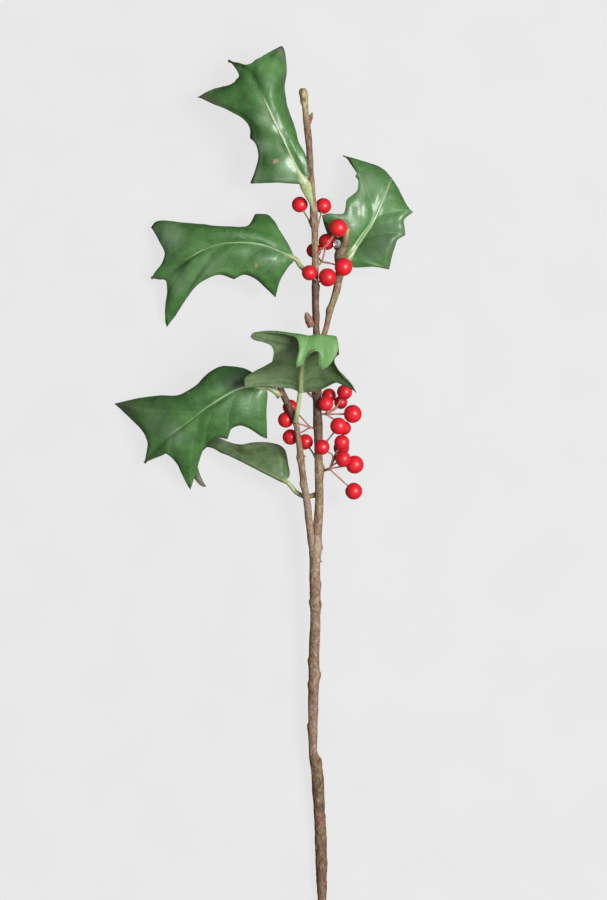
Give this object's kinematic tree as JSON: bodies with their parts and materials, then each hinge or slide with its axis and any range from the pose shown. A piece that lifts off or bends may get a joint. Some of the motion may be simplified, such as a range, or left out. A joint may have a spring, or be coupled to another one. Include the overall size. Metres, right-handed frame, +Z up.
{
  "type": "holly sprig",
  "caption": "Cut sprig of holly lying on its side: a forked woody stem with glossy spiny evergreen leaves and loose bunches of round red berries on thin stalks",
  "frame": {"origin": "middle of the sprig's footprint, on the surface it lies on", "axes": "+Y along the sprig, from the cut foot of the stem to its growing tip; +Z up, away from the surface; +X across, to the right when it is seen from above with the tip ahead"},
  "size_m": [0.1512, 0.4396, 0.064],
  "materials": {
    "bark": "matt, slightly rough, with pale breathing pores and greenish patches",
    "leaf": "waxy and glossy above, satin below",
    "berry": "smooth and glossy",
    "berry_stalk": "satin",
    "resin": "clear and wet-looking"
  },
  "bodies": {
    "root": {"woody_stem": "bark", "leaf_top": "leaf", "leaf_right": "leaf", "leaf_upper_left": "leaf", "leaf_front": "leaf", "leaf_lower_left": "leaf", "leaf_lower_back": "leaf", "berry_01": "berry", "berry_02": "berry", "berry_03": "berry", "berry_04": "berry", "berry_05": "berry", "berry_06": "berry", "berry_07": "berry", "berry_08": "berry", "berry_09": "berry", "berry_10": "berry", "berry_11": "berry", "berry_12": "berry", "berry_13": "berry", "berry_14": "berry", "berry_15": "berry", "berry_16": "berry", "berry_17": "berry", "berry_18": "berry", "berry_19": "berry", "berry_20": "berry", "berry_21": "berry", "berry_22": "berry", "berry_23": "berry", "berry_24": "berry", "berry_25": "berry", "stalk_top_left": "berry_stalk", "stalk_top_right": "berry_stalk", "stalk_upper": "berry_stalk", "stalks_middle": "berry_stalk", "stalks_low": "berry_stalk", "stalks_right": "berry_stalk", "stalk_right": "berry_stalk", "stalks_low_right": "berry_stalk", "stalks_left": "berry_stalk", "stalk_left": "berry_stalk", "resin_bead": "resin"}
  },
  "joints": []
}
